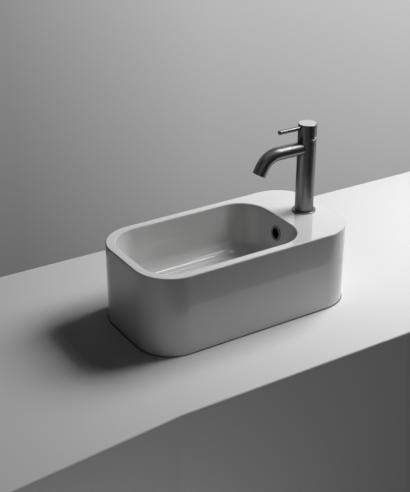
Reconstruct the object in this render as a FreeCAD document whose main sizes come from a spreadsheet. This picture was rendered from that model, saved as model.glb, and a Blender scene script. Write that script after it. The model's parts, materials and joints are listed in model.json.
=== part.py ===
import FreeCAD, Part
import math
import os
import re
import Sketcher

# A countertop washbasin with an offset bowl, a click waste and a single-lever mixer tap.
# Frame: origin at the middle of the base, +X along the length towards the tap, +Y to the back, +Z up.

# Driving sizes, in millimetres and degrees
SIZES = {
    # Ceramic basin
    "basin_length": 450,
    "basin_width": 236.5,
    "basin_height": 158,
    "corner_radius": 72,
    "rim_width": 17,
    "rim_round": 2.5,
    "base_round": 3,
    "deck_length": 108.5,
    "deck_thickness": 16,
    "outer_wall": 14,
    "bowl_wall": 14,
    "bowl_corner": 59.5,
    "bowl_depth": 99.5,
    "bowl_draft": 6.5,
    "bowl_fillet": 32,
    "floor_thickness": 9,
    "hollow_round": 12,
    # Overflow trim ring and the cast duct behind it
    "overflow_drop": 34.5,
    "trim_bore": 10.5,
    "trim_sleeve": 12,
    "trim_lip": 15,
    "trim_height": 1.6,
    "trim_bevel": 0.7,
    "trim_depth": 12,
    "trim_gap": 0.15,
    "duct_width": 34,
    "duct_depth": 10,
    "duct_height": 9,
    "duct_wall": 5,
    "duct_headroom": 2,
    # Click waste
    "waste_grip": 24,
    "waste_hole": 22.5,
    "boss_radius": 33,
    "recess_depth": 3,
    "recess_gap": 0.8,
    "flange_radius": 31.5,
    "flange_thickness": 2.5,
    "flange_seat": 25,
    "seat_depth": 1.5,
    "flange_seal": 1.5,
    "tail_radius": 20.955,
    "tail_bore": 17.5,
    "tail_free": 12,
    "tail_clearance": 0.3,
    "relief_width": 1,
    "relief_depth": 0.75,
    "slot_width": 12,
    "slot_height": 7,
    "lower_seal": 3,
    "lower_seal_radius": 29,
    "back_nut_height": 8,
    "back_nut_radius": 30,
    "hub_radius": 10,
    "hub_height": 20,
    "hub_floor": 2,
    "hub_lift": 4,
    "arm_width": 4,
    "arm_height": 8,
    "guide_radius": 7.5,
    "guide_collar": 9,
    "guide_lip": 2,
    "guide_cavity": 5,
    "guide_roof": 3,
    "stem_radius": 4,
    "piston_radius": 4.6,
    "piston_height": 3,
    "spring_wire": 0.5,
    "spring_radius": 3.7,
    "spring_turns": 5,
    "plug_travel": 8,
    "plug_gap": 0.5,
    "plug_radius": 30.5,
    "plug_edge": 2.5,
    "plug_crown": 2,
    "plug_crown_radius": 18,
    "plug_seal_inner": 19.5,
    "plug_seal_outer": 24,
    "plug_seal_height": 1.7,
    "stem_flange": 9,
    "stem_flange_height": 2,
    # Tap column
    "tap_setback": 47,
    "tap_hole": 17.5,
    "tap_radius": 18,
    "column_height": 150.5,
    "column_bevel": 0.5,
    "spigot_radius": 16.5,
    "spigot_bore": 14.6,
    "spigot_depth": 10,
    "spigot_floor": 2,
    "base_ring_radius": 23,
    "base_ring_height": 3,
    "base_ring_bevel": 1,
    "base_gasket_inner": 18,
    "base_gasket_outer": 21.5,
    "base_gasket_height": 1.5,
    "gasket_gap": 0.1,
    "inlet_radius": 4.5,
    "inlet_length": 12,
    "inlet_spread": 5.75,
    "inlet_back": 4,
    "riser_radius": 3,
    "land_radius": 13,
    "land_height": 5,
    "chamber_radius": 14.5,
    # Spout and aerator
    "spout_drop": 19,
    "spout_radius": 13,
    "spout_bore": 9.5,
    "spout_straight": 67,
    "spout_bend": 40,
    "spout_angle": 61,
    "spout_end": 15.5,
    "nozzle_bore": 10.5,
    "nozzle_depth": 12,
    "nozzle_recess": 0.6,
    "nozzle_wall": 1.05,
    "nozzle_lip": 1.4,
    "nozzle_lip_width": 1.1,
    "washer_height": 2,
    "washer_bore": 6.5,
    "insert_height": 7,
    "insert_hole": 0.9,
    "insert_inner_ring": 3.1,
    "insert_outer_ring": 6.2,
    # Cartridge
    "cartridge_radius": 12.5,
    "cartridge_wall": 1.5,
    "manifold_height": 9.5,
    "feed_depth": 5,
    "port_overlap": 1.5,
    "seal_outer": 4.6,
    "seal_height": 1,
    "outlet_width": 5,
    "outlet_height": 4,
    "disc_height": 3.5,
    "fixed_disc_radius": 10.8,
    "port_radius": 1.6,
    "port_spread": 3.5,
    "port_back": 3.2,
    "outlet_place": 1.3,
    "outlet_radius": 2,
    "moving_disc_radius": 8.2,
    "mixing_depth": 2,
    "mixing_front": 5.2,
    "arm_length": 10,
    "arm_radius": 1.8,
    "ball_radius": 2.4,
    "ball_gap": 0.3,
    "driver_floor": 1.1,
    "driver_gap": 0.5,
    "carrier_flange": 3,
    "carrier_neck": 8,
    "carrier_top": 4.5,
    "carrier_slot": 6.8,
    "plate_height": 2,
    "nut_depth": 3,
    "nut_rise": 3,
    "nut_bore": 9.2,
    "pivot_radius": 1.5,
    "pivot_length": 15.2,
    "pivot_block": 4,
    "stem_size": 7,
    "stem_gap": 0.2,
    "dome_radius": 14.8,
    "dome_height": 8,
    "dome_wall": 1.2,
    # Handle
    "handle_height": 29,
    "handle_bevel": 0.8,
    "handle_cavity": 15.5,
    "handle_roof": 16,
    "seam_gap": 0.9,
    "lift_angle": 20,
    "lift_spare": 2,
    "stem_top": 20.5,
    "socket_gap": 0.05,
    "lever_height": 22,
    "lever_radius": 4.25,
    "lever_root": 7,
    "lever_reach": 68,
    "lever_round": 3.8,
    "set_screw_radius": 2,
    "set_screw_length": 10,
    "set_screw_height": 18.2,
    "screw_key_radius": 1,
    "screw_key_depth": 2,
    # Fixing under the deck
    "stud_radius": 4,
    "stud_place": 10,
    "stud_grip": 12,
    "stud_spare": 6,
    "stud_bevel": 0.8,
    "stud_hole_gap": 0.2,
    "shoe_radius": 24,
    "shoe_slot": 12.5,
    "shoe_slot_end": 3,
    "shoe_gasket_height": 3,
    "shoe_plate_height": 2.5,
    "stud_nut_height": 8,
    "stud_nut_radius": 7.5,
    # Fits
    "thread_gap": 0.05,
    "running_gap": 0.05,
}

# How many of each repeated cut or rib
WASTE_ARMS = 3
INNER_HOLES = 6
OUTER_HOLES = 12
HEXAGON_SIDES = 6

# Places worked out from the driving sizes
TAP_X = "(basin_length / 2 - tap_setback)"
WASTE_X = "((rim_width - deck_length) / 2)"
BOWL_LEFT = "(rim_width - basin_length / 2)"
BOWL_RIGHT = "(basin_length / 2 - deck_length)"
BOWL_BACK = "(basin_width / 2 - rim_width)"
FLOOR_Z = "(basin_height - bowl_depth)"
FLOOR_UNDER = "(basin_height - bowl_depth - floor_thickness)"
DECK_UNDER = "(basin_height - deck_thickness)"
BOSS_Z = "(basin_height - bowl_depth - waste_grip)"
SHAFT_X = "(basin_length / 2 - deck_length + bowl_wall)"
OVERFLOW_X = "(basin_length / 2 - deck_length - overflow_drop * tan(bowl_draft))"
OVERFLOW_Z = "(basin_height - overflow_drop)"
OVERFLOW_TURN = "(bowl_draft - 90)"
SEAM_Z = "(basin_height + column_height)"
SPOUT_Z = "(basin_height + column_height - spout_drop)"
NOZZLE_X = "(spout_straight + spout_bend * sin(spout_angle) + spout_end * cos(spout_angle))"
NOZZLE_DROP = "(spout_bend * (1 - cos(spout_angle)) + spout_end * sin(spout_angle))"
NOZZLE_TURN = "(90 - spout_angle)"

# Heights in the waste, from the bowl floor down
FLANGE_UNDER = "(flange_seal - recess_depth)"
FLANGE_TOP = "(flange_seal - recess_depth + flange_thickness)"
NUT_TOP = "(-waste_grip - lower_seal)"
NUT_UNDER = "(-waste_grip - lower_seal - back_nut_height)"
TAIL_END = "(-waste_grip - lower_seal - back_nut_height - tail_free)"
HUB_UNDER = "(hub_lift - waste_grip - lower_seal - back_nut_height - tail_free)"
HUB_TOP = "(hub_height + hub_lift - waste_grip - lower_seal - back_nut_height - tail_free)"
GUIDE_FLOOR = "(hub_floor + hub_lift - waste_grip - lower_seal - back_nut_height - tail_free)"
GUIDE_TOP = "(guide_lip + hub_height + hub_lift - waste_grip - lower_seal - back_nut_height - tail_free)"
GUIDE_CEILING = "(guide_lip + hub_height + hub_lift - waste_grip - lower_seal - back_nut_height" \
                " - tail_free - guide_roof)"
PLUG_UNDER = "(flange_seal - recess_depth + flange_thickness + plug_gap + plug_travel)"

# Heights in the cartridge, from the seam between the column and the handle down
PLATE_UNDER = "(-nut_depth - plate_height)"
CARRIER_UNDER = "(-nut_depth - plate_height - carrier_flange)"
DRIVER_TOP = "(-nut_depth - plate_height - carrier_flange - driver_gap)"
DRIVER_UNDER = "(-arm_length - ball_radius - driver_floor)"
DISC_UNDER = "(-arm_length - ball_radius - driver_floor - disc_height)"
FIXED_UNDER = "(-arm_length - ball_radius - driver_floor - 2 * disc_height)"
SEAT_Z = "(-arm_length - ball_radius - driver_floor - 2 * disc_height - manifold_height)"
DISC_SHIFT = "(arm_length * sin(lift_angle) / 2)"

# Height of the column's floor above the deck, where the hoses and the stud screw in
INLET_Z = "(base_ring_height + spigot_floor)"

doc = FreeCAD.newDocument("Washbasin")
sheet = doc.addObject("Spreadsheet::Sheet", "Sizes")
for row, (alias, number) in enumerate(SIZES.items(), start=1):
    sheet.set("A%d" % row, str(number))
    sheet.setAlias("A%d" % row, alias)
doc.recompute()
pieces = []


def bound(formula):
    """A formula of size names, as the document's expressions write it."""
    return re.sub(r"\b[a-z]+(?:_[a-z]+)+\b", r"Sizes.\g<0>", str(formula))


def value(formula):
    """What a formula of size names comes to."""
    return float(sheet.evalExpression(bound(formula)))


def tie(item, prop, formula):
    """Bind a property to a formula of size names."""
    item.setExpression(prop, bound(formula))


def new_body(label, x="0", z="0", turn="0"):
    """An empty sub-part on the middle plane, turned about Y."""
    body = doc.addObject("PartDesign::Body", label)
    body.Label = label
    place = FreeCAD.Vector(value(x), 0, value(z))
    body.Placement = FreeCAD.Placement(place, FreeCAD.Rotation(FreeCAD.Vector(0, 1, 0), value(turn)))
    tie(body, "Placement.Base.x", x)
    tie(body, "Placement.Base.z", z)
    if turn != "0":
        tie(body, "Placement.Rotation.Angle", turn)
    pieces.append(body)
    return body


def new_sketch(body, name, plane="XY_Plane", x="0", y="0", z="0", turn="0"):
    """A sketch on one of the body's origin planes, moved and turned within that plane's frame."""
    sketch = body.newObject("Sketcher::SketchObject", name)
    support = next(item for item in body.Origin.OriginFeatures if item.Role == plane)
    sketch.AttachmentSupport = [(support, "")]
    sketch.MapMode = "FlatFace"
    place = FreeCAD.Vector(value(x), value(y), value(z))
    sketch.AttachmentOffset = FreeCAD.Placement(place, FreeCAD.Rotation(FreeCAD.Vector(0, 1, 0), value(turn)))
    for axis, formula in (("x", x), ("y", y), ("z", z)):
        if formula != "0":
            tie(sketch, "AttachmentOffset.Base." + axis, formula)
    if turn != "0":
        tie(sketch, "AttachmentOffset.Rotation.Angle", turn)
    return sketch


def pin_point(sketch, element, point, x, y):
    """Hold a point of an element at a place given by two formulas."""
    for kind, formula in (("DistanceX", x), ("DistanceY", y)):
        number = sketch.addConstraint(Sketcher.Constraint(kind, -1, 1, element, point, value(formula)))
        tie(sketch, "Constraints[%d]" % number, formula)


def pin_radius(sketch, element, radius):
    """Hold the radius of an arc or circle."""
    number = sketch.addConstraint(Sketcher.Constraint("Radius", element, value(radius)))
    tie(sketch, "Constraints[%d]" % number, radius)


def draw_outline(sketch, corners):
    """A closed straight-sided outline; each corner is a pair of formulas."""
    first = sketch.GeometryCount
    count = len(corners)
    places = [FreeCAD.Vector(value(x), value(y), 0) for x, y in corners]
    for index in range(count):
        sketch.addGeometry(Part.LineSegment(places[index], places[(index + 1) % count]))
    for index, (x, y) in enumerate(corners):
        follower = first + (index + 1) % count
        sketch.addConstraint(Sketcher.Constraint("Coincident", first + index, 2, follower, 1))
        pin_point(sketch, first + index, 1, x, y)


def draw_rectangle(sketch, left, right, low, high):
    """A rectangle between four formulas."""
    draw_outline(sketch, [(left, low), (right, low), (right, high), (left, high)])


def draw_circle(sketch, x, y, radius):
    """A circle about a place given by two formulas."""
    place = FreeCAD.Vector(value(x), value(y), 0)
    element = sketch.addGeometry(Part.Circle(place, FreeCAD.Vector(0, 0, 1), value(radius)))
    pin_point(sketch, element, 3, x, y)
    pin_radius(sketch, element, radius)


def draw_round_rectangle(sketch, left, right, half_width, left_radius, right_radius):
    """A rectangle across the middle line, its corners rounded in pairs."""
    corners = [
        (f"{left} + {left_radius}", f"{left_radius} - {half_width}", left_radius, 180),
        (f"{right} - {right_radius}", f"{right_radius} - {half_width}", right_radius, 270),
        (f"{right} - {right_radius}", f"{half_width} - {right_radius}", right_radius, 0),
        (f"{left} + {left_radius}", f"{half_width} - {left_radius}", left_radius, 90),
    ]
    upright = FreeCAD.Vector(0, 0, 1)
    arcs = []
    for x, y, radius, start in corners:
        ring = Part.Circle(FreeCAD.Vector(value(x), value(y), 0), upright, value(radius))
        arc = Part.ArcOfCircle(ring, math.radians(start), math.radians(start + 90))
        arcs.append((sketch.addGeometry(arc), arc))
    for index in range(len(arcs)):
        element, arc = arcs[index]
        next_element, next_arc = arcs[(index + 1) % len(arcs)]
        side = sketch.addGeometry(Part.LineSegment(arc.EndPoint, next_arc.StartPoint))
        sketch.addConstraint(Sketcher.Constraint("Tangent", element, 2, side, 1))
        sketch.addConstraint(Sketcher.Constraint("Tangent", side, 2, next_element, 1))
    for (element, arc), (x, y, radius, start) in zip(arcs, corners):
        pin_point(sketch, element, 3, x, y)
        pin_radius(sketch, element, radius)


def draw_hexagon(sketch, radius):
    """A regular hexagon about the origin, with two corners on X."""
    angles = [360 // HEXAGON_SIDES * side for side in range(HEXAGON_SIDES)]
    draw_outline(sketch, [(f"{radius} * cos({angle})", f"{radius} * sin({angle})") for angle in angles])


def extrude(body, kind, name, sketch, length, reverse=False, both_ways=False):
    """A pad or pocket whose effect on the volume is checked."""
    doc.recompute()
    before = body.Shape.Volume if body.Tip else 0
    feature = body.newObject("PartDesign::" + kind, name)
    feature.Profile = sketch
    feature.Reversed = reverse
    feature.Midplane = both_ways
    feature.Length = value(length)
    tie(feature, "Length", length)
    doc.recompute()
    grown = body.Shape.Volume - before
    if (grown if kind == "Pad" else -grown) <= 0:
        raise RuntimeError(name + " changes nothing")
    return feature


def pad(body, name, sketch, length, **ways):
    return extrude(body, "Pad", name, sketch, length, **ways)


def pocket(body, name, sketch, length, **ways):
    return extrude(body, "Pocket", name, sketch, length, **ways)


def repeat_around(body, name, feature, sketch, count):
    """A full ring of copies of a feature about the sketch's normal through its origin."""
    ring = body.newObject("PartDesign::PolarPattern", name)
    ring.Originals = [feature]
    ring.Axis = (sketch, ["N_Axis"])
    ring.Angle = 360
    ring.Occurrences = count
    body.Tip = ring
    doc.recompute()


def round_edges(body, name, radius, chosen):
    """A fillet on the edges of the body that a test picks."""
    doc.recompute()
    tip = body.Tip
    names = ["Edge%d" % (index + 1) for index, edge in enumerate(tip.Shape.Edges) if chosen(edge)]
    fillet = body.newObject("PartDesign::Fillet", name)
    fillet.Base = (tip, names)
    fillet.Radius = value(radius)
    tie(fillet, "Radius", radius)
    doc.recompute()


def level_with(height):
    """A test for edges that lie flat at a height."""
    level = value(height)
    near = 1e-4

    def lies_level(edge):
        return abs(edge.BoundBox.ZMin - level) < near and abs(edge.BoundBox.ZMax - level) < near
    return lies_level


def turned(label, corners, x="0", z="0", turn="0"):
    """A round piece: an outline of radius and height turned about its own axis."""
    body = new_body(label, x, z, turn)
    sketch = new_sketch(body, label + "_profile", "XZ_Plane")
    draw_outline(sketch, corners)
    round_turn = body.newObject("PartDesign::Revolution", label + "_turn")
    round_turn.Profile = sketch
    round_turn.ReferenceAxis = (sketch, ["V_Axis"])
    round_turn.Angle = 360
    doc.recompute()
    return body


def ring(label, inner, outer, low, high, x, z, turn="0"):
    """A plain ring of rectangular section."""
    return turned(label, [(inner, low), (outer, low), (outer, high), (inner, high)], x, z, turn)


# Ceramic basin

def make_basin():
    body = new_body("basin")
    outline = new_sketch(body, "basin_outline")
    half = "basin_length / 2"
    draw_round_rectangle(outline, f"-{half}", half, "basin_width / 2", "corner_radius", "corner_radius")
    pad(body, "basin_block", outline, "basin_height")

    mouth = new_sketch(body, "bowl_mouth", z="basin_height")
    draw_round_rectangle(mouth, BOWL_LEFT, BOWL_RIGHT, BOWL_BACK, "bowl_corner", "bowl_corner")
    bowl = pocket(body, "bowl", mouth, "bowl_depth")
    tie(bowl, "TaperAngle", "-bowl_draft")
    round_edges(body, "bowl_floor_fillet", "bowl_fillet", level_with(FLOOR_Z))
    round_edges(body, "rim_fillet", "rim_round", level_with("basin_height"))
    round_edges(body, "base_fillet", "base_round", level_with("0"))

    under = new_sketch(body, "floor_hollow_outline")
    inside = "corner_radius - outer_wall"
    hollow_end = "(basin_length / 2 - outer_wall)"
    hollow_side = "(basin_width / 2 - outer_wall)"
    draw_round_rectangle(under, f"-{hollow_end}", hollow_end, hollow_side, f"({inside})", f"({inside})")
    pocket(body, "floor_hollow", under, FLOOR_UNDER, reverse=True)
    deck = new_sketch(body, "deck_hollow_outline")
    draw_round_rectangle(deck, SHAFT_X, hollow_end, hollow_side, "hollow_round", f"({inside})")
    pocket(body, "deck_hollow", deck, DECK_UNDER, reverse=True)

    boss = new_sketch(body, "waste_boss_outline", z=BOSS_Z)
    draw_circle(boss, WASTE_X, "0", "boss_radius")
    pad(body, "waste_boss", boss, "waste_grip - floor_thickness")
    casing = new_sketch(body, "duct_casing_outline", "XZ_Plane")
    casing_x = f"{SHAFT_X} + duct_depth + duct_wall"
    draw_outline(casing, [
        (WASTE_X, BOSS_Z), (casing_x, BOSS_Z), (casing_x, DECK_UNDER), (SHAFT_X, DECK_UNDER),
        (SHAFT_X, FLOOR_UNDER), (WASTE_X, FLOOR_UNDER),
    ])
    pad(body, "duct_casing", casing, "duct_width + 2 * duct_wall", both_ways=True)
    duct = new_sketch(body, "duct_outline", "XZ_Plane")
    duct_low = f"{BOSS_Z} + duct_wall"
    duct_high = f"{BOSS_Z} + duct_wall + duct_height"
    duct_top = f"{OVERFLOW_Z} + trim_sleeve + duct_headroom"
    duct_x = f"{SHAFT_X} + duct_depth"
    draw_outline(duct, [
        (WASTE_X, duct_low), (duct_x, duct_low), (duct_x, duct_top), (SHAFT_X, duct_top),
        (SHAFT_X, duct_high), (WASTE_X, duct_high),
    ])
    pocket(body, "overflow_duct", duct, "duct_width", both_ways=True)

    drain = new_sketch(body, "waste_hole_outline", z=FLOOR_Z)
    draw_circle(drain, WASTE_X, "0", "waste_hole")
    pocket(body, "waste_hole_cut", drain, "waste_grip")
    recess = new_sketch(body, "waste_recess_outline", z=FLOOR_Z)
    draw_circle(recess, WASTE_X, "0", "flange_radius + recess_gap")
    pocket(body, "waste_recess", recess, "recess_depth")
    overflow = new_sketch(body, "overflow_outline", x=OVERFLOW_X, z=OVERFLOW_Z, turn=OVERFLOW_TURN)
    draw_circle(overflow, "0", "0", "trim_sleeve + trim_gap")
    reach = f"({SHAFT_X} + duct_depth / 2 - {OVERFLOW_X}) / cos(bowl_draft)"
    pocket(body, "overflow_hole", overflow, reach)
    tap_hole = new_sketch(body, "tap_hole_outline", z="basin_height")
    draw_circle(tap_hole, TAP_X, "0", "tap_hole")
    pocket(body, "tap_hole_cut", tap_hole, "deck_thickness")


def make_overflow_ring():
    turned("overflow_ring", [
        ("trim_bore", "-trim_depth"), ("trim_sleeve", "-trim_depth"), ("trim_sleeve", "0"), ("trim_lip", "0"),
        ("trim_lip", "trim_height - trim_bevel"), ("trim_lip - trim_bevel", "trim_height"),
        ("trim_bore + trim_bevel", "trim_height"), ("trim_bore", "trim_height - trim_bevel"),
    ], OVERFLOW_X, OVERFLOW_Z, OVERFLOW_TURN)


# Click waste

def make_waste_body():
    relief_under = f"{NUT_UNDER} - relief_width"
    body = turned("waste_body", [
        ("tail_bore", TAIL_END), ("tail_radius", TAIL_END), ("tail_radius", relief_under),
        ("tail_radius - relief_depth", relief_under), ("tail_radius - relief_depth", NUT_UNDER),
        ("tail_radius", NUT_UNDER), ("tail_radius", FLANGE_UNDER), ("flange_radius", FLANGE_UNDER),
        ("flange_radius", FLANGE_TOP), ("flange_seat", FLANGE_TOP),
        ("flange_seat", f"{FLANGE_TOP} - seat_depth"), ("tail_bore", f"{FLANGE_TOP} - seat_depth"),
    ], WASTE_X, FLOOR_Z)
    arm = new_sketch(body, "waste_arm_outline", z=HUB_UNDER)
    draw_rectangle(arm, "0", "(tail_bore + tail_radius) / 2", "-arm_width / 2", "arm_width / 2")
    repeat_around(body, "waste_arms", pad(body, "waste_arm", arm, "arm_height"), arm, WASTE_ARMS)
    hub = new_sketch(body, "waste_hub_outline", z=HUB_UNDER)
    draw_circle(hub, "0", "0", "hub_radius")
    pad(body, "waste_hub", hub, "hub_height")
    bore = new_sketch(body, "waste_hub_bore_outline", z=HUB_TOP)
    draw_circle(bore, "0", "0", "guide_radius")
    pocket(body, "waste_hub_bore", bore, "hub_height - hub_floor")
    slot_low = "duct_wall + (duct_height - slot_height) / 2 - waste_grip"
    for plane in ("XZ_Plane", "YZ_Plane"):
        slot = new_sketch(body, "overflow_slot_" + plane[:2].lower(), plane)
        draw_rectangle(slot, "-slot_width / 2", "slot_width / 2", slot_low, f"{slot_low} + slot_height")
        pocket(body, "overflow_slots_" + plane[:2].lower(), slot, "2 * waste_hole", both_ways=True)


def make_waste_seals():
    inner = "tail_radius + tail_clearance"
    ring("waste_flange_seal", inner, "flange_radius", "-recess_depth", FLANGE_UNDER, WASTE_X, FLOOR_Z)
    ring("waste_lower_seal", inner, "lower_seal_radius", NUT_TOP, "-waste_grip", WASTE_X, FLOOR_Z)


def make_hex_nut(label, radius, bore, height, x, z):
    body = new_body(label, x, z)
    outline = new_sketch(body, label + "_outline")
    draw_hexagon(outline, radius)
    draw_circle(outline, "0", "0", bore)
    pad(body, label + "_block", outline, height)


def make_waste_back_nut():
    make_hex_nut("waste_back_nut", "back_nut_radius", "tail_radius + thread_gap", "back_nut_height", WASTE_X,
                 f"{FLOOR_Z} + {NUT_UNDER}")


def make_click_housing():
    outer = "guide_radius - thread_gap"
    bore = "stem_radius + running_gap"
    turned("click_housing", [
        ("guide_cavity", GUIDE_FLOOR), (outer, GUIDE_FLOOR), (outer, HUB_TOP), ("guide_collar", HUB_TOP),
        ("guide_collar", GUIDE_TOP), (bore, GUIDE_TOP), (bore, GUIDE_CEILING),
        ("guide_cavity", GUIDE_CEILING),
    ], WASTE_X, FLOOR_Z)


def make_plug():
    stem_under = f"{GUIDE_CEILING} - piston_height"
    flange_under = f"{PLUG_UNDER} - stem_flange_height"
    turned("plug_stem", [
        ("0", stem_under), ("piston_radius", stem_under), ("piston_radius", GUIDE_CEILING),
        ("stem_radius", GUIDE_CEILING), ("stem_radius", flange_under), ("stem_flange", flange_under),
        ("stem_flange", PLUG_UNDER), ("0", PLUG_UNDER),
    ], WASTE_X, FLOOR_Z)
    ring("plug_seal", "plug_seal_inner", "plug_seal_outer", f"{PLUG_UNDER} - plug_seal_height", PLUG_UNDER,
         WASTE_X, FLOOR_Z)
    edge_top = f"{PLUG_UNDER} + plug_edge"
    turned("plug_cap", [
        ("0", PLUG_UNDER), ("plug_radius", PLUG_UNDER), ("plug_radius", f"{PLUG_UNDER} + plug_edge / 2"),
        ("plug_radius - plug_edge / 2", edge_top), ("plug_crown_radius", f"{edge_top} + plug_crown"),
        ("0", f"{edge_top} + plug_crown"),
    ], WASTE_X, FLOOR_Z)


def make_click_spring():
    """An open coil between the guide's floor and the stem's piston, in quarter-turn arcs."""
    radius = value("spring_radius")
    wire = value("spring_wire")
    low = value(f"{GUIDE_FLOOR} + spring_wire")
    high = value(f"{GUIDE_CEILING} - piston_height - spring_wire")
    quarters = 4 * int(round(value("spring_turns")))

    def on_coil(step):
        angle = step * math.pi / 2
        rise = low + (high - low) * step / quarters
        return FreeCAD.Vector(radius * math.cos(angle), radius * math.sin(angle), rise)

    arcs = []
    for step in range(quarters):
        arcs.append(Part.Arc(on_coil(step), on_coil(step + 0.5), on_coil(step + 1)).toShape())
    path = Part.Wire(arcs)
    start = arcs[0]
    section = Part.Wire([Part.Circle(on_coil(0), start.tangentAt(start.FirstParameter), wire).toShape()])
    coil = doc.addObject("Part::Feature", "click_spring")
    coil.Label = "click_spring"
    coil.Shape = path.makePipeShell([section], True, False)
    coil.Placement = FreeCAD.Placement(FreeCAD.Vector(value(WASTE_X), 0, value(FLOOR_Z)), FreeCAD.Rotation())
    pieces.append(coil)


# Tap column and its fixing under the deck

def make_tap_body():
    chamber_top = "column_height - land_height"
    seat = f"column_height + {SEAT_Z}"
    body = turned("tap_body", [
        ("0", INLET_Z), ("spigot_bore", INLET_Z), ("spigot_bore", "-spigot_depth"),
        ("spigot_radius", "-spigot_depth"), ("spigot_radius", "base_ring_height"),
        ("tap_radius", "base_ring_height"), ("tap_radius", "column_height - column_bevel"),
        ("tap_radius - column_bevel", "column_height"), ("land_radius", "column_height"),
        ("land_radius", chamber_top), ("chamber_radius", chamber_top), ("chamber_radius", seat), ("0", seat),
    ], TAP_X, "basin_height")
    socket = new_sketch(body, "spout_socket_outline", "YZ_Plane")
    draw_circle(socket, "0", "column_height - spout_drop", "spout_radius")
    pocket(body, "spout_socket", socket, "tap_radius")
    # Where the socket passes the cartridge's seat, the core under the seat stays whole
    core = new_sketch(body, "core_outline", z=seat)
    draw_circle(core, "0", "0", "chamber_radius")
    pad(body, "core", core, "spout_radius", reverse=True)
    inlets = new_sketch(body, "inlet_outline", z=INLET_Z)
    risers = new_sketch(body, "riser_outline", z=INLET_Z)
    for side in ("inlet_spread", "-inlet_spread"):
        draw_circle(inlets, "-inlet_back", side, "inlet_radius")
        draw_circle(risers, "-inlet_back", side, "riser_radius")
    pocket(body, "inlets", inlets, "inlet_length", reverse=True)
    pocket(body, "risers", risers, f"{seat} - {INLET_Z}", reverse=True)
    stud = new_sketch(body, "stud_hole_outline", z=INLET_Z)
    draw_circle(stud, "stud_place", "0", "stud_radius + thread_gap")
    pocket(body, "stud_hole", stud, "stud_grip", reverse=True)


def make_base_ring():
    bore = "spigot_radius + gasket_gap"
    top = "base_ring_height"
    gasket_top = "base_gasket_height"
    groove_inner = "base_gasket_inner - gasket_gap"
    groove_outer = "base_gasket_outer + gasket_gap"
    turned("tap_base_ring", [
        (bore, "0"), (groove_inner, "0"), (groove_inner, gasket_top), (groove_outer, gasket_top),
        (groove_outer, "0"), ("base_ring_radius", "0"), ("base_ring_radius", f"{top} - base_ring_bevel"),
        ("base_ring_radius - base_ring_bevel", top), (bore, top),
    ], TAP_X, "basin_height")
    ring("base_gasket", "base_gasket_inner", "base_gasket_outer", "0", gasket_top, TAP_X, "basin_height")


def make_shoe(label, top, height):
    """A horseshoe under the deck: open towards the hoses, holed for the stud."""
    body = new_body(label, TAP_X, f"basin_height - deck_thickness - {top} - {height}")
    outline = new_sketch(body, label + "_outline")
    draw_circle(outline, "0", "0", "shoe_radius")
    draw_circle(outline, "stud_place", "0", "stud_radius + stud_hole_gap")
    pad(body, label + "_disc", outline, height)
    slot = new_sketch(body, label + "_slot_outline")
    draw_rectangle(slot, "-shoe_radius - stud_radius", "shoe_slot_end", "-shoe_slot", "shoe_slot")
    pocket(body, label + "_slot", slot, height, reverse=True)


def make_fixing():
    make_shoe("horseshoe_gasket", "0", "shoe_gasket_height")
    make_shoe("horseshoe_plate", "shoe_gasket_height", "shoe_plate_height")
    nut_under = "-deck_thickness - shoe_gasket_height - shoe_plate_height - stud_nut_height"
    stud_x = f"{TAP_X} + stud_place"
    make_hex_nut("stud_nut", "stud_nut_radius", "stud_radius + thread_gap", "stud_nut_height", stud_x,
                 f"basin_height {nut_under}")
    stud_low = f"{nut_under} - stud_spare"
    stud_high = f"{INLET_Z} + stud_grip"
    turned("mounting_stud", [
        ("0", stud_low), ("stud_radius - stud_bevel", stud_low), ("stud_radius", f"{stud_low} + stud_bevel"),
        ("stud_radius", stud_high), ("0", stud_high),
    ], stud_x, "basin_height")


# Spout and aerator

def make_spout():
    body = new_body("spout", TAP_X, SPOUT_Z)
    path = new_sketch(body, "spout_path", "XZ_Plane")
    start = FreeCAD.Vector(0, 0, 0)
    bend_start = FreeCAD.Vector(-value("spout_straight"), 0, 0)
    centre = bend_start - FreeCAD.Vector(0, value("spout_bend"), 0)
    circle = Part.Circle(centre, FreeCAD.Vector(0, 0, 1), value("spout_bend"))
    bend = Part.ArcOfCircle(circle, math.radians(90), math.radians(90 + value("spout_angle")))
    end = FreeCAD.Vector(-value(NOZZLE_X), -value(NOZZLE_DROP), 0)
    run, arc, tail = (path.addGeometry(piece) for piece in
                      (Part.LineSegment(start, bend_start), bend, Part.LineSegment(bend.EndPoint, end)))
    pin_point(path, run, 1, "0", "0")
    pin_point(path, run, 2, "-spout_straight", "0")
    path.addConstraint(Sketcher.Constraint("Tangent", run, 2, arc, 1))
    pin_radius(path, arc, "spout_bend")
    path.addConstraint(Sketcher.Constraint("Tangent", arc, 2, tail, 1))
    pin_point(path, tail, 2, f"-{NOZZLE_X}", f"-{NOZZLE_DROP}")
    section = new_sketch(body, "spout_section", "YZ_Plane")
    draw_circle(section, "0", "0", "spout_radius")
    draw_circle(section, "0", "0", "spout_bore")
    doc.recompute()
    tube = body.newObject("PartDesign::AdditivePipe", "spout_tube")
    tube.Profile = section
    tube.Spine = path
    doc.recompute()
    cope = new_sketch(body, "spout_cope_outline")
    draw_circle(cope, "0", "0", "chamber_radius")
    pocket(body, "spout_cope", cope, "2 * spout_radius + spout_bore", both_ways=True)
    nozzle = new_sketch(body, "nozzle_outline", x=f"-{NOZZLE_X}", z=f"-{NOZZLE_DROP}", turn=NOZZLE_TURN)
    draw_circle(nozzle, "0", "0", "nozzle_bore")
    pocket(body, "nozzle", nozzle, "nozzle_depth", reverse=True)


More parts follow.
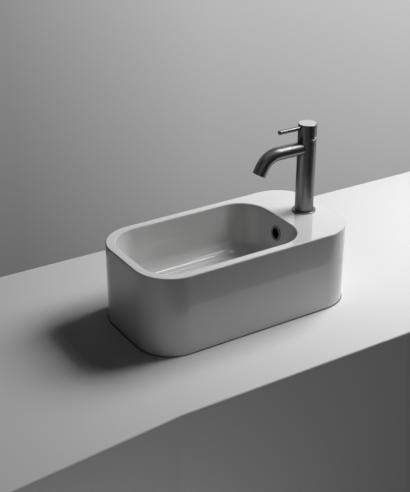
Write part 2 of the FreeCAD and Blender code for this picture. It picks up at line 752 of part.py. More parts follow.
def make_aerator():
    place = (f"{TAP_X} - {NOZZLE_X}", f"{SPOUT_Z} - {NOZZLE_DROP}", NOZZLE_TURN)
    outer = "nozzle_bore - thread_gap"
    sleeve = "nozzle_bore - thread_gap - nozzle_wall"
    lip_bore = "nozzle_bore - thread_gap - nozzle_wall - nozzle_lip_width"
    lip_top = "nozzle_recess + nozzle_lip"
    washer_low = "nozzle_depth - washer_height"
    turned("aerator_housing", [
        (lip_bore, "nozzle_recess"), (outer, "nozzle_recess"), (outer, washer_low), (sleeve, washer_low),
        (sleeve, lip_top), (lip_bore, lip_top),
    ], *place)
    ring("aerator_washer", "washer_bore", outer, washer_low, "nozzle_depth", *place)
    insert = new_body("aerator_insert", *place)
    disc = new_sketch(insert, "insert_outline", z=lip_top)
    draw_circle(disc, "0", "0", f"{sleeve} - thread_gap")
    draw_circle(disc, "0", "0", "insert_hole")
    pad(insert, "insert_disc", disc, "insert_height")
    rings = (("inner", "insert_inner_ring", INNER_HOLES), ("outer", "insert_outer_ring", OUTER_HOLES))
    for name, place_radius, count in rings:
        hole = new_sketch(insert, f"insert_{name}_outline", z=lip_top)
        draw_circle(hole, place_radius, "0", "insert_hole")
        cut = pocket(insert, f"insert_{name}_hole", hole, "insert_height", reverse=True)
        repeat_around(insert, f"insert_{name}_holes", cut, hole, count)


# Cartridge

def make_cartridge_base():
    body = turned("cartridge_base", [
        ("0", SEAT_Z), ("cartridge_radius", SEAT_Z), ("cartridge_radius", FIXED_UNDER), ("0", FIXED_UNDER),
    ], TAP_X, SEAM_Z)
    feeds = new_sketch(body, "feed_outline", z=SEAT_Z)
    seats = new_sketch(body, "seal_seat_outline", z=SEAT_Z)
    ports = new_sketch(body, "base_port_outline", z=FIXED_UNDER)
    for sign in ("", "-"):
        draw_circle(feeds, "-inlet_back", f"{sign}inlet_spread", "riser_radius")
        draw_circle(seats, "-inlet_back", f"{sign}inlet_spread", "seal_outer")
        draw_circle(ports, "-port_back", f"{sign}port_spread", "port_radius")
    pocket(body, "feeds", feeds, "feed_depth", reverse=True)
    pocket(body, "seal_seats", seats, "seal_height", reverse=True)
    pocket(body, "base_ports", ports, "manifold_height - feed_depth + port_overlap")
    outlet = new_sketch(body, "outlet_outline", z=FIXED_UNDER)
    half_outlet = "outlet_width / 2"
    draw_rectangle(outlet, "outlet_place - outlet_radius", "cartridge_radius + outlet_width",
                   f"-{half_outlet}", half_outlet)
    pocket(body, "outlet", outlet, "outlet_height")


def make_cartridge_seals():
    """Two flat seals between the cartridge and the column's risers, one node."""
    seals = []
    for name, sign in (("left", "-"), ("right", "")):
        rims = []
        for part, radius in (("outer", "seal_outer - gasket_gap"), ("inner", "riser_radius")):
            rim = doc.addObject("Part::Cylinder", f"seal_{name}_{part}")
            tie(rim, "Radius", radius)
            tie(rim, "Height", "seal_height")
            tie(rim, "Placement.Base.x", f"{TAP_X} - inlet_back")
            tie(rim, "Placement.Base.y", f"{sign}inlet_spread")
            tie(rim, "Placement.Base.z", f"{SEAM_Z} + {SEAT_Z}")
            rims.append(rim)
        seal = doc.addObject("Part::Cut", f"seal_{name}")
        seal.Base, seal.Tool = rims
        seals.append(seal)
    both = doc.addObject("Part::Compound", "cartridge_seals")
    both.Label = "cartridge_seals"
    both.Links = seals
    doc.recompute()
    pieces.append(both)


def make_discs():
    fixed = turned("fixed_disc", [
        ("0", FIXED_UNDER), ("fixed_disc_radius", FIXED_UNDER), ("fixed_disc_radius", DISC_UNDER),
        ("0", DISC_UNDER),
    ], TAP_X, SEAM_Z)
    ports = new_sketch(fixed, "disc_port_outline", z=FIXED_UNDER)
    draw_circle(ports, "-port_back", "port_spread", "port_radius")
    draw_circle(ports, "-port_back", "-port_spread", "port_radius")
    draw_circle(ports, "outlet_place", "0", "outlet_radius")
    pocket(fixed, "disc_ports", ports, "disc_height", reverse=True)

    moving_x = f"{TAP_X} + {DISC_SHIFT}"
    moving = turned("moving_disc", [
        ("0", DISC_UNDER), ("moving_disc_radius", DISC_UNDER), ("moving_disc_radius", DRIVER_UNDER),
        ("0", DRIVER_UNDER),
    ], moving_x, SEAM_Z)
    mixing = new_sketch(moving, "mixing_outline", z=DISC_UNDER)
    half_mix = "port_spread + port_radius"
    draw_rectangle(mixing, "-port_back", "mixing_front", f"-({half_mix})", half_mix)
    pocket(moving, "mixing_recess", mixing, "mixing_depth", reverse=True)

    driver = turned("disc_driver", [
        ("0", DRIVER_UNDER), ("moving_disc_radius", DRIVER_UNDER), ("moving_disc_radius", DRIVER_TOP),
        ("0", DRIVER_TOP),
    ], moving_x, SEAM_Z)
    socket = new_sketch(driver, "ball_socket_outline", z=DRIVER_TOP)
    draw_circle(socket, f"-{DISC_SHIFT}", "0", "ball_radius + ball_gap")
    pocket(driver, "ball_socket", socket, f"{DRIVER_TOP} - {DRIVER_UNDER} - driver_floor + ball_gap")


def make_cartridge_housing():
    inner = "cartridge_radius - cartridge_wall"
    opening = "carrier_neck + running_gap"
    turned("cartridge_housing", [
        (inner, FIXED_UNDER), ("cartridge_radius", FIXED_UNDER), ("cartridge_radius", "-nut_depth"),
        (opening, "-nut_depth"), (opening, PLATE_UNDER), (inner, PLATE_UNDER),
    ], TAP_X, SEAM_Z)


def make_carrier():
    """The turning holder of the pivot pin: a flange under the housing's plate and a slotted neck."""
    flange = "cartridge_radius - cartridge_wall - running_gap"
    body = turned("cartridge_carrier", [
        ("0", CARRIER_UNDER), (flange, CARRIER_UNDER), (flange, PLATE_UNDER), ("carrier_neck", PLATE_UNDER),
        ("carrier_neck", "carrier_top"), ("0", "carrier_top"),
    ], TAP_X, SEAM_Z)
    slot = new_sketch(body, "carrier_slot_outline", z=CARRIER_UNDER)
    half_slot = "stem_size / 2 + stem_gap"
    draw_rectangle(slot, "-carrier_slot", "carrier_slot", f"-({half_slot})", half_slot)
    pocket(body, "carrier_slot_cut", slot, f"carrier_top - {CARRIER_UNDER}", reverse=True)
    bore = new_sketch(body, "pivot_bore_outline", "XZ_Plane")
    draw_circle(bore, "0", "0", "pivot_radius")
    pocket(body, "pivot_bore", bore, "3 * carrier_neck", both_ways=True)

    pin = new_body("pivot_pin", TAP_X, SEAM_Z)
    section = new_sketch(pin, "pivot_outline", "XZ_Plane")
    draw_circle(section, "0", "0", "pivot_radius")
    pad(pin, "pivot_rod", section, "pivot_length", both_ways=True)


def make_spindle():
    """Ball and arm below the pivot, square stem above it."""
    body = turned("cartridge_spindle", [
        ("0", "-arm_length"), ("arm_radius", "-arm_length"), ("arm_radius", "-pivot_block / 2"),
        ("0", "-pivot_block / 2"),
    ], TAP_X, SEAM_Z)
    ball = body.newObject("PartDesign::AdditiveSphere", "spindle_ball")
    tie(ball, "Radius", "ball_radius")
    ball.AttachmentSupport = [(next(f for f in body.Origin.OriginFeatures if f.Role == "XY_Plane"), "")]
    ball.MapMode = "FlatFace"
    tie(ball, "AttachmentOffset.Base.z", "-arm_length")
    stem = new_sketch(body, "stem_outline", z="-pivot_block")
    half_stem = "stem_size / 2"
    draw_rectangle(stem, f"-{half_stem}", half_stem, f"-{half_stem}", half_stem)
    pad(body, "stem_block", stem, "pivot_block + stem_top")
    bore = new_sketch(body, "spindle_bore_outline", "XZ_Plane")
    draw_circle(bore, "0", "0", "pivot_radius + running_gap")
    pocket(body, "spindle_bore", bore, "2 * stem_size", both_ways=True)


def make_cartridge_nut():
    ring("cartridge_nut", "nut_bore", "land_radius - thread_gap", "-nut_depth", "nut_rise", TAP_X, SEAM_Z)


def make_dome_cover():
    """A round-backed cover over the nut, about the pivot, standing on the column's top."""
    body = new_body("dome_cover", TAP_X, SEAM_Z)
    sketch = new_sketch(body, "dome_profile", "XZ_Plane")
    rim = "sqrt(dome_radius * dome_radius - dome_height * dome_height)"
    corners = [
        (rim, "dome_height"), (f"{rim} - dome_wall", "dome_height"), ("land_radius", "nut_rise"),
        ("land_radius", "0"), ("dome_radius", "0"),
    ]
    places = [FreeCAD.Vector(value(x), value(y), 0) for x, y in corners]
    for first, second in zip(places, places[1:]):
        sketch.addGeometry(Part.LineSegment(first, second))
    sphere = Part.Circle(FreeCAD.Vector(0, 0, 0), FreeCAD.Vector(0, 0, 1), value("dome_radius"))
    top_angle = math.asin(value("dome_height") / value("dome_radius"))
    back = sketch.addGeometry(Part.ArcOfCircle(sphere, 0, top_angle))
    for index, (x, y) in enumerate(corners[:-1]):
        pin_point(sketch, index, 1, x, y)
        if index:
            sketch.addConstraint(Sketcher.Constraint("Coincident", index - 1, 2, index, 1))
    last = len(corners) - 2
    pin_point(sketch, last, 2, *corners[-1])
    sketch.addConstraint(Sketcher.Constraint("Coincident", last, 2, back, 1))
    sketch.addConstraint(Sketcher.Constraint("Coincident", back, 2, 0, 1))
    pin_radius(sketch, back, "dome_radius")
    round_turn = body.newObject("PartDesign::Revolution", "dome_turn")
    round_turn.Profile = sketch
    round_turn.ReferenceAxis = (sketch, ["V_Axis"])
    round_turn.Angle = 360
    doc.recompute()


# Handle

def make_handle_cap():
    body = turned("handle_cap", [
        ("handle_cavity", "seam_gap"), ("tap_radius", "seam_gap"),
        ("tap_radius", "handle_height - handle_bevel"), ("tap_radius - handle_bevel", "handle_height"),
        ("0", "handle_height"), ("0", "handle_roof"), ("handle_cavity", "handle_roof"),
    ], TAP_X, SEAM_Z)
    heel = new_sketch(body, "heel_outline", "XZ_Plane")
    far = "2 * tap_radius"
    heel_top = f"seam_gap + {far} * tan(lift_angle + lift_spare)"
    draw_outline(heel, [("0", "seam_gap"), (far, "seam_gap"), (far, heel_top)])
    pocket(body, "heel_bevel", heel, far, both_ways=True)
    socket = new_sketch(body, "stem_socket_outline", z="handle_roof")
    half_socket = "stem_size / 2 + socket_gap"
    draw_rectangle(socket, f"-({half_socket})", half_socket, f"-({half_socket})", half_socket)
    pocket(body, "stem_socket", socket, "stem_top - handle_roof", reverse=True)
    lever = new_sketch(body, "lever_hole_outline", "YZ_Plane", z="-lever_root")
    draw_circle(lever, "0", "lever_height", "lever_radius")
    pocket(body, "lever_hole", lever, "tap_radius")
    screw = new_sketch(body, "screw_hole_outline", "YZ_Plane", z="stem_size / 2")
    draw_circle(screw, "0", "set_screw_height", "set_screw_radius + thread_gap")
    pocket(body, "screw_hole", screw, "tap_radius", reverse=True)


def make_lever_pin():
    body = turned("lever_pin", [
        ("0", "lever_root"), ("lever_radius", "lever_root"), ("lever_radius", "lever_reach"),
        ("0", "lever_reach"),
    ], TAP_X, f"{SEAM_Z} + lever_height", "-90")
    round_edges(body, "lever_tip", "lever_round", level_with("lever_reach"))


def make_set_screw():
    low = "stem_size / 2"
    high = "stem_size / 2 + set_screw_length"
    body = turned("handle_set_screw", [
        ("0", low), ("set_screw_radius", low), ("set_screw_radius", high), ("0", high),
    ], TAP_X, f"{SEAM_Z} + set_screw_height", "90")
    key = new_sketch(body, "screw_key_outline", z=high)
    draw_hexagon(key, "screw_key_radius")
    pocket(body, "screw_key", key, "screw_key_depth")


def write_pieces():
    """Check every object, then write one file per sub-part."""
    doc.recompute()
    failed = [item.Name for item in doc.Objects if "Invalid" in item.State or "Error" in item.State]
    if failed:
        raise RuntimeError("failed: " + ", ".join(failed))
    for piece in pieces:
        if piece.Shape.isNull() or not piece.Shape.isValid():
            raise RuntimeError("bad shape: " + piece.Label)
    os.makedirs("parts", exist_ok=True)
    for piece in pieces:
        piece.Shape.exportStep("parts/%s.step" % piece.Label)


make_basin()
make_overflow_ring()
make_waste_body()
make_waste_seals()
make_waste_back_nut()
make_click_housing()
make_plug()
make_click_spring()
make_tap_body()
make_base_ring()
make_fixing()
make_spout()
make_aerator()
make_cartridge_base()
make_cartridge_seals()
make_discs()
make_cartridge_housing()
make_carrier()
make_spindle()
make_cartridge_nut()
make_dome_cover()
make_handle_cap()
make_lever_pin()
make_set_screw()
write_pieces()
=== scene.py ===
import json
import math
import bpy
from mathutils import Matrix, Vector


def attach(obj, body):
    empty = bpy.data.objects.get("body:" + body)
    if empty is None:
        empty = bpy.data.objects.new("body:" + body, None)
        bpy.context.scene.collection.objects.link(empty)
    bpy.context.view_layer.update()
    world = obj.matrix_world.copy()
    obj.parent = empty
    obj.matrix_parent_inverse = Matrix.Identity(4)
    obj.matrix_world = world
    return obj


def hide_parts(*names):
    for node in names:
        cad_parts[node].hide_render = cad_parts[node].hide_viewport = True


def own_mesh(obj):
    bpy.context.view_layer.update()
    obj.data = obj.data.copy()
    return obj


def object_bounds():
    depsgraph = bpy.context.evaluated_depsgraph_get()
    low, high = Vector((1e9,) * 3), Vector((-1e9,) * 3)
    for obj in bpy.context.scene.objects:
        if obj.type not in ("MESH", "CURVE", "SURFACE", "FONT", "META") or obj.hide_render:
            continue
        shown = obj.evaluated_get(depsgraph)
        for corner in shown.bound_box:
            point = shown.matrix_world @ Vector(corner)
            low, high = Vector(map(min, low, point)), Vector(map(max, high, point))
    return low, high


# The looks of a countertop washbasin with a single-lever mixer tap.
# Metres, in the frame of the part: +X along the length towards the tap, +Y to the back, +Z up.

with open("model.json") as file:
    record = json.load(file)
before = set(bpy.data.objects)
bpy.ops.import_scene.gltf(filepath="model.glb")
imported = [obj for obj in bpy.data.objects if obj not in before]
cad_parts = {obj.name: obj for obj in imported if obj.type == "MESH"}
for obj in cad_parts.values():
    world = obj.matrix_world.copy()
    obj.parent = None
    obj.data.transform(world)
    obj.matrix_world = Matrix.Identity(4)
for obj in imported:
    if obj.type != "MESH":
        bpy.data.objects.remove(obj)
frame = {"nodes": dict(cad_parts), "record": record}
cad_low, cad_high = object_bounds()
nodes = frame["nodes"]

# Camera, in metres and degrees
CAMERA_PLACE = Vector((-0.97952, -1.48701, 1.01764))
CAMERA_HEADING = 57.995
CAMERA_PITCH = -26.615
CAMERA_LENS = 76.97
SENSOR_WIDTH = 36

# Colours of the pieces, most as a darker and a lighter shade
GLAZE = ((0.69, 0.69, 0.685), (0.73, 0.73, 0.725))
GLAZE_SPECK = (0.57, 0.56, 0.545)
BARE_CLAY = (0.60, 0.58, 0.55)
TAP_STEEL = ((0.222, 0.222, 0.225), (0.297, 0.297, 0.3))
SPOUT_STEEL = ((0.27, 0.27, 0.273), (0.305, 0.305, 0.308))
WASTE_STEEL = ((0.50, 0.50, 0.505), (0.62, 0.62, 0.625))
ZINC = ((0.55, 0.55, 0.54), (0.68, 0.68, 0.67))
BRASS = ((0.62, 0.47, 0.22), (0.76, 0.61, 0.33))
RUBBER = ((0.016, 0.016, 0.017), (0.04, 0.04, 0.042))
PLASTIC = ((0.47, 0.48, 0.49), (0.56, 0.57, 0.58))
ALUMINA = ((0.80, 0.78, 0.73), (0.88, 0.87, 0.83))

# Glaze: how much it bends light, the heights between which it starts, and the bare clay's roughness below
GLAZE_IOR = 1.55
GLAZE_STARTS = (0.0006, 0.0014)
CLAY_ROUGHNESS = 0.75

# Brushed metal: noise scales of its lines, what they and the clouds add to its tone, the lines' depth, and
# how its shine is turned
LINES_AROUND = (35, 35, 3200)
LINES_ALONG = (45, 1300, 1300)
LINE_SHARE = 0.7
CLOUD_SHARE = 0.3
LINE_DEPTH = 0.00005
QUARTER_TURN = 0.25

# Metal seen along its surface
EDGE_TINT = (0.5, 0.5, 0.5)

# Metal faced on a lathe, on faces that look up: a lighter steel colour that paints a highlight on them,
# their share of the brushed roughness, and how far they look up
PAINTED_TOP_SHEEN = (0.64, 0.64, 0.645)
FACED_SHARE = 0.6
FACED_SINES = (0.9, 0.98)

# Floor: its front edge bends at one place, and its back edge runs at a small slope to X
FLOOR_FRONT = -0.268
FLOOR_BEND = -0.265
FLOOR_FRONT_SLOPE = 0.099
FLOOR_BACK = 0.332
FLOOR_BACK_SLOPE = -0.0174
FLOOR_HALF_LENGTH = 4
FLOOR_DEPTH = 1.2
FLOOR_EDGE = 0.003
FLOOR_EDGE_STEPS = 4
FLOOR_GREY = 0.86
FLOOR_GRAIN = 0.01
FLOOR_ROUGHNESS = 0.8
FLOOR_SPECULAR = 0.2

# Painted shade on the floor along the foot of the basin's round base, where ambient occlusion darkens its
# colour:
# its reach, its ends as shares of open sky, its grey, and its fineness
PAINTED_SHADE_REACH = 0.005
PAINTED_SHADE_SHARES = (0.45, 0.8)
PAINTED_SHADE_GREY = 0.08
PAINTED_SHADE_SAMPLES = 16

# Lamps, aimed at a point in the middle of the basin: headings are anticlockwise from +X
LAMP_AIM = Vector((0, 0, cad_high.z / 4))
LAMPS = (
    # Main light, high at the tap's end
    dict(name="key", heading=-1.6, height=48, distance=1.5, size=0.75, power=20, mirrored=False),
    # What gloss mirrors of it, which lights nothing else
    dict(name="shine", heading=-21, height=44, distance=1.45, size=0.6, power=6.3, lighting=False),
    # Fill, in front and just below the floor's level
    dict(name="fill", heading=262, height=-6, distance=1.8, size=1.0, power=1.35, mirrored=False),
    # Small lamp overhead, mirrored along the back of the bowl's floor
    dict(name="top", heading=-12.5, height=64, distance=1.33, size=0.22, power=1.0),
    # Light on the floor's front, from below its edge
    dict(name="low", heading=215, height=-40, distance=1.1, size=0.6, power=1.65, mirrored=False),
)

# Surroundings: the share of them that lights the scene, the strongest share of their grey,
# greys at headings anticlockwise from +X, and shares of these at sines of the height
SURROUND_LIGHT = 0.085
SURROUND_PEAK = 3.2
SURROUND_GREYS = (
    (-180, 0.03), (-150, 0.05), (-118, 0.09), (-92, 0.02), (-60, 0.01), (-45, 0.025), (-20, 0.15),
    (0, 0.3), (20, 0.45), (47, 0.56), (58, 0.49), (69, 0.28), (95, 0.16), (150, 0.03),
)
HEIGHT_SHARES = (
    (-1, 0.3), (-0.48, 0.48), (-0.22, 1), (0.15, 1.4), (0.45, 3.2), (0.6, 0.9), (0.8, 0.1),
)
# Ceiling: its grey, and the sines of the height between which it starts
CEILING_GREY = 0.3
CEILING_SINES = (0.72, 0.88)


# Node helpers

# Places of the two colours and of the result among the sockets of a mix of colours
MIX_COLOURS = (6, 7)
MIX_RESULT = 2


def new_material(name):
    """A material with one shader, and its tree."""
    material = bpy.data.materials.new(name)
    material.use_nodes = True
    tree = material.node_tree
    return material, tree, tree.nodes["Principled BSDF"]


def add_node(tree, kind, **settings):
    """A node with some of its properties set."""
    node = tree.nodes.new(kind)
    for name, setting in settings.items():
        setattr(node, name, setting)
    return node


def noise(tree, scale, detail=3, stretch=(1, 1, 1), roughness=0.55):
    """Noise in the piece's own coordinates, finer along an axis with a larger stretch."""
    place = add_node(tree, "ShaderNodeTexCoord")
    mapping = add_node(tree, "ShaderNodeMapping")
    mapping.inputs["Scale"].default_value = stretch
    texture = add_node(tree, "ShaderNodeTexNoise")
    texture.inputs["Scale"].default_value = scale
    texture.inputs["Detail"].default_value = detail
    texture.inputs["Roughness"].default_value = roughness
    tree.links.new(place.outputs["Object"], mapping.inputs["Vector"])
    tree.links.new(mapping.outputs["Vector"], texture.inputs["Vector"])
    return texture.outputs["Fac"]


def spread(tree, factor, low, high, start=0.3, end=0.7):
    """A factor's middle stretch, spread between two numbers."""
    node = add_node(tree, "ShaderNodeMapRange")
    node.inputs["From Min"].default_value = start
    node.inputs["From Max"].default_value = end
    node.inputs["To Min"].default_value = low
    node.inputs["To Max"].default_value = high
    tree.links.new(factor, node.inputs["Value"])
    return node.outputs["Result"]


def blend_colours(tree, factor, first, second):
    """A mix of two colours, each a tuple or a socket."""
    node = add_node(tree, "ShaderNodeMix", data_type="RGBA")
    tree.links.new(factor, node.inputs[0])
    for place, colour in zip(MIX_COLOURS, (first, second)):
        if isinstance(colour, tuple):
            node.inputs[place].default_value = (*colour, 1)
        else:
            tree.links.new(colour, node.inputs[place])
    return node.outputs[MIX_RESULT]


def combine(tree, operation, first, second):
    """Two factors, or a factor and a number, put together."""
    node = add_node(tree, "ShaderNodeMath", operation=operation)
    for socket, item in zip(node.inputs, (first, second)):
        if isinstance(item, (int, float)):
            socket.default_value = item
        else:
            tree.links.new(item, socket)
    return node.outputs[0]


def ramp(tree, factor, stops):
    """A grey that follows a factor through stops, each a place and a grey."""
    node = add_node(tree, "ShaderNodeValToRGB")
    elements = node.color_ramp.elements
    while len(elements) < len(stops):
        elements.new(1)
    for element, (place, grey) in zip(elements, stops):
        element.position = place
        element.color = (grey, grey, grey, 1)
    tree.links.new(factor, node.inputs["Fac"])
    return node.outputs["Color"]


def bump(tree, shader, height, strength, distance):
    """A relief on the shader's surface."""
    node = add_node(tree, "ShaderNodeBump")
    node.inputs["Strength"].default_value = strength
    node.inputs["Distance"].default_value = distance
    tree.links.new(height, node.inputs["Height"])
    tree.links.new(node.outputs["Normal"], shader.inputs["Normal"])


def split_coordinates(tree, kind):
    """X, Y and Z of one kind of texture coordinate."""
    place = add_node(tree, "ShaderNodeTexCoord")
    split = add_node(tree, "ShaderNodeSeparateXYZ")
    tree.links.new(place.outputs[kind], split.inputs[0])
    return split.outputs


# Materials

def glazed_ceramic():
    """White glaze with a slow ripple, and a bare foot where the piece stood in the kiln."""
    material, tree, shader = new_material("glazed_ceramic")
    cloud = noise(tree, scale=9, detail=2)
    speck = noise(tree, scale=1400, detail=2)
    glaze = blend_colours(tree, cloud, *GLAZE)
    specks = spread(tree, speck, low=0, high=0.35, start=0.66, end=0.8)
    glaze = blend_colours(tree, specks, glaze, GLAZE_SPECK)
    bare = spread(tree, split_coordinates(tree, "Object")["Z"], 1, 0, *GLAZE_STARTS)
    tree.links.new(blend_colours(tree, bare, glaze, BARE_CLAY), shader.inputs["Base Color"])
    gloss = spread(tree, noise(tree, scale=60), low=0.006, high=0.016)
    gloss = combine(tree, "MAXIMUM", gloss, combine(tree, "MULTIPLY", bare, CLAY_ROUGHNESS))
    tree.links.new(gloss, shader.inputs["Roughness"])
    shader.inputs["IOR"].default_value = GLAZE_IOR
    bump(tree, shader, noise(tree, scale=16, detail=1), strength=0.06, distance=0.0003)
    return material


def brushed_metal(name, shades, smooth, rough, stretch=LINES_AROUND, turned=0.0, relief=0.12):
    """Metal with fine brush lines across the stretched axes, between a smooth and a rough roughness.

    turned is how far they go round the upright; faces that look up are then cut finer, and a lighter
    colour on them paints an even highlight.
    """
    material, tree, shader = new_material(name)
    lines = noise(tree, scale=1, detail=4, stretch=stretch, roughness=0.7)
    cloud = noise(tree, scale=40, detail=2)
    tone = combine(tree, "ADD", combine(tree, "MULTIPLY", lines, LINE_SHARE),
                   combine(tree, "MULTIPLY", cloud, CLOUD_SHARE))
    colour = blend_colours(tree, spread(tree, tone, 0, 1), *shades)
    gloss = spread(tree, lines, smooth, rough)
    shader.inputs["Metallic"].default_value = 1
    shader.inputs["Specular Tint"].default_value = (*EDGE_TINT, 1)
    if turned:
        flat = spread(tree, split_coordinates(tree, "Normal")["Z"], 0, 1, *FACED_SINES)
        # Painted highlight: faces that look up take a lighter steel colour, which makes them look lit from
        # above
        colour = blend_colours(tree, flat, colour, PAINTED_TOP_SHEEN)
        gloss = combine(tree, "MULTIPLY", gloss, spread(tree, flat, 1, FACED_SHARE, 0, 1))
        tree.links.new(spread(tree, flat, turned, 0, 0, 1), shader.inputs["Anisotropic"])
        shader.inputs["Anisotropic Rotation"].default_value = QUARTER_TURN
        around = add_node(tree, "ShaderNodeTangent", direction_type="RADIAL", axis="Z")
        tree.links.new(around.outputs["Tangent"], shader.inputs["Tangent"])
    tree.links.new(colour, shader.inputs["Base Color"])
    tree.links.new(gloss, shader.inputs["Roughness"])
    bump(tree, shader, lines, relief, LINE_DEPTH)
    return material


def rubber():
    """Matt black rubber with a dusty grain."""
    material, tree, shader = new_material("rubber")
    grain = noise(tree, scale=900)
    tree.links.new(blend_colours(tree, grain, *RUBBER), shader.inputs["Base Color"])
    tree.links.new(spread(tree, grain, low=0.6, high=0.85), shader.inputs["Roughness"])
    bump(tree, shader, grain, strength=0.3, distance=0.0001)
    return material


def moulded_plastic():
    """Grey moulded plastic with a fine spark-eroded grain."""
    material, tree, shader = new_material("moulded_plastic")
    grain = noise(tree, scale=2200, detail=2)
    cloud = noise(tree, scale=70, detail=2)
    tree.links.new(blend_colours(tree, cloud, *PLASTIC), shader.inputs["Base Color"])
    tree.links.new(spread(tree, grain, low=0.38, high=0.55), shader.inputs["Roughness"])
    bump(tree, shader, grain, strength=0.2, distance=0.00006)
    return material


def lapped_ceramic():
    """Cream alumina, lapped smooth."""
    material, tree, shader = new_material("lapped_ceramic")
    grain = noise(tree, scale=3000, detail=2)
    cloud = noise(tree, scale=200, detail=2)
    tree.links.new(blend_colours(tree, grain, *ALUMINA), shader.inputs["Base Color"])
    tree.links.new(spread(tree, cloud, low=0.12, high=0.22), shader.inputs["Roughness"])
    bump(tree, shader, grain, strength=0.05, distance=0.00003)
    return material


def dress_nodes():
    """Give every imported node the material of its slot, apart from three with a steel of their own."""
    looks = {
        "glazed_white": glazed_ceramic(),
        "brushed_steel": brushed_metal("brushed_steel", TAP_STEEL, smooth=0.28, rough=0.36, turned=0.6),
        "waste_steel": brushed_metal("waste_steel", WASTE_STEEL, smooth=0.18, rough=0.30, turned=0.5),
        "bright_steel": brushed_metal("bright_steel", ZINC, smooth=0.22, rough=0.40),
        "brass": brushed_metal("brass", BRASS, smooth=0.20, rough=0.36),
        "rubber": rubber(),
        "grey_plastic": moulded_plastic(),
        "disc_ceramic": lapped_ceramic(),
    }
    spout_steel = brushed_metal("spout_steel", SPOUT_STEEL, smooth=0.31, rough=0.34, stretch=LINES_ALONG,
                                relief=0.02)
    ring_steel = brushed_metal("ring_steel", TAP_STEEL, smooth=0.30, rough=0.38)
    for row in frame["record"]["subparts"]:
        mesh = nodes[row["node"]].data
        mesh.materials.clear()
        mesh.materials.append(looks[row["material_slot"]])
    for name in ("spout", "lever_pin"):
        nodes[name].data.materials[0] = spout_steel
    nodes["tap_base_ring"].data.materials[0] = ring_steel


def make_spring():
    """The click spring, which on the real waste shortens as the plug goes down on it, copied here with a
    mesh of its own and hung on the basin unit.
    """
    spring = bpy.data.objects.new("shortening_spring", nodes["click_spring"].data.copy())
    bpy.context.scene.collection.objects.link(spring)
    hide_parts("click_spring")
    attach(spring, "basin_unit")
    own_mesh(spring)


# Stage

def make_floor():
    """A pale matt slab that the basin stands on, with painted shade in its colour along the foot of the
    basin.
    """
    mesh = bpy.data.meshes.new("floor")
    floor = bpy.data.objects.new("floor", mesh)
    bpy.context.scene.collection.objects.link(floor)
    end = FLOOR_HALF_LENGTH
    corners = [
        (-end, FLOOR_FRONT - (end + FLOOR_BEND) * FLOOR_FRONT_SLOPE),
        (FLOOR_BEND, FLOOR_FRONT),
        (end, FLOOR_FRONT),
        (end, FLOOR_BACK + end * FLOOR_BACK_SLOPE),
        (-end, FLOOR_BACK - end * FLOOR_BACK_SLOPE),
    ]
    count = len(corners)
    points = [(*corner, z) for z in (-FLOOR_DEPTH, 0) for corner in corners]
    sides = [(side, (side + 1) % count, (side + 1) % count + count, side + count) for side in range(count)]
    bottom, top = tuple(reversed(range(count))), tuple(range(count, 2 * count))
    mesh.from_pydata(points, [], [bottom, top, *sides])
    edge = floor.modifiers.new("edge", "BEVEL")
    edge.width = FLOOR_EDGE
    edge.segments = FLOOR_EDGE_STEPS
    material, tree, shader = new_material("floor")
    grain = noise(tree, scale=260, detail=4)
    grey = blend_colours(tree, grain, (FLOOR_GREY - FLOOR_GRAIN,) * 3, (FLOOR_GREY + FLOOR_GRAIN,) * 3)
    # Painted shade: ambient occlusion darkens the floor's colour where it meets the basin's base
    sky = add_node(tree, "ShaderNodeAmbientOcclusion", samples=PAINTED_SHADE_SAMPLES)
    sky.inputs["Distance"].default_value = PAINTED_SHADE_REACH
    clear = spread(tree, sky.outputs["AO"], 0, 1, *PAINTED_SHADE_SHARES)
    tree.links.new(blend_colours(tree, clear, (PAINTED_SHADE_GREY,) * 3, grey), shader.inputs["Base Color"])
    shader.inputs["Roughness"].default_value = FLOOR_ROUGHNESS
    shader.inputs["Specular IOR Level"].default_value = FLOOR_SPECULAR
    mesh.materials.append(material)


def direction(heading, height):
    """A unit vector from two angles in degrees."""
    turn, lift = math.radians(heading), math.radians(height)
    return Vector((math.cos(turn) * math.cos(lift), math.sin(turn) * math.cos(lift), math.sin(lift)))


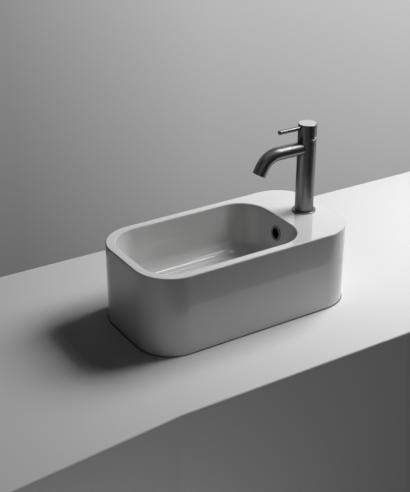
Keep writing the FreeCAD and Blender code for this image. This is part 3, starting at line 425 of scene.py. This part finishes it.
def make_lamp(name, heading, height, distance, size, power, mirrored=True, lighting=True):
    """One soft lamp, which gloss mirrors or not and which lights matt surfaces or not."""
    lamp = bpy.data.lights.new(name, "AREA")
    lamp.shape = "SQUARE"
    lamp.size = size
    lamp.energy = power
    holder = bpy.data.objects.new(name, lamp)
    holder.visible_glossy = mirrored
    holder.visible_diffuse = lighting
    bpy.context.scene.collection.objects.link(holder)
    away = direction(heading, height)
    holder.location = LAMP_AIM + away * distance
    holder.rotation_mode = "QUATERNION"
    holder.rotation_quaternion = (-away).to_track_quat("-Z", "Y")


def make_surroundings():
    """A grey room: dim in front, lit at the tap end, pale overhead. It lights the object only a little."""
    world = bpy.data.worlds.new("surroundings")
    bpy.context.scene.world = world
    world.use_nodes = True
    tree = world.node_tree
    background = tree.nodes["Background"]
    way = split_coordinates(tree, "Generated")
    heading = combine(tree, "ARCTAN2", way["Y"], way["X"])
    around = spread(tree, heading, 0, 1, -math.pi, math.pi)
    grey = ramp(tree, around, [((angle + 180) / 360, grey) for angle, grey in SURROUND_GREYS])
    upward = spread(tree, way["Z"], 0, 1, -1, 1)
    share = ramp(tree, upward, [((sine + 1) / 2, share / SURROUND_PEAK) for sine, share in HEIGHT_SHARES])
    ceiling = spread(tree, way["Z"], 0, CEILING_GREY / SURROUND_PEAK, *CEILING_SINES)
    tree.links.new(combine(tree, "MAXIMUM", combine(tree, "MULTIPLY", grey, share), ceiling),
                   background.inputs["Color"])
    path = add_node(tree, "ShaderNodeLightPath")
    seen = path.outputs["Is Camera Ray"]
    for kind in ("Is Glossy Ray", "Is Transmission Ray"):
        seen = combine(tree, "MAXIMUM", seen, path.outputs[kind])
    strength = spread(tree, seen, SURROUND_LIGHT * SURROUND_PEAK, SURROUND_PEAK, 0, 1)
    tree.links.new(strength, background.inputs["Strength"])


def make_camera():
    """The photograph's viewpoint."""
    camera = bpy.data.cameras.new("camera")
    camera.lens = CAMERA_LENS
    camera.sensor_width = SENSOR_WIDTH
    holder = bpy.data.objects.new("camera", camera)
    bpy.context.scene.collection.objects.link(holder)
    holder.location = CAMERA_PLACE
    holder.rotation_mode = "QUATERNION"
    holder.rotation_quaternion = direction(CAMERA_HEADING, CAMERA_PITCH).to_track_quat("-Z", "Y")
    bpy.context.scene.camera = holder


dress_nodes()
make_spring()
make_floor()
for lamp in LAMPS:
    make_lamp(**lamp)
make_surroundings()
make_camera()
bpy.context.scene.view_settings.view_transform = "Standard"
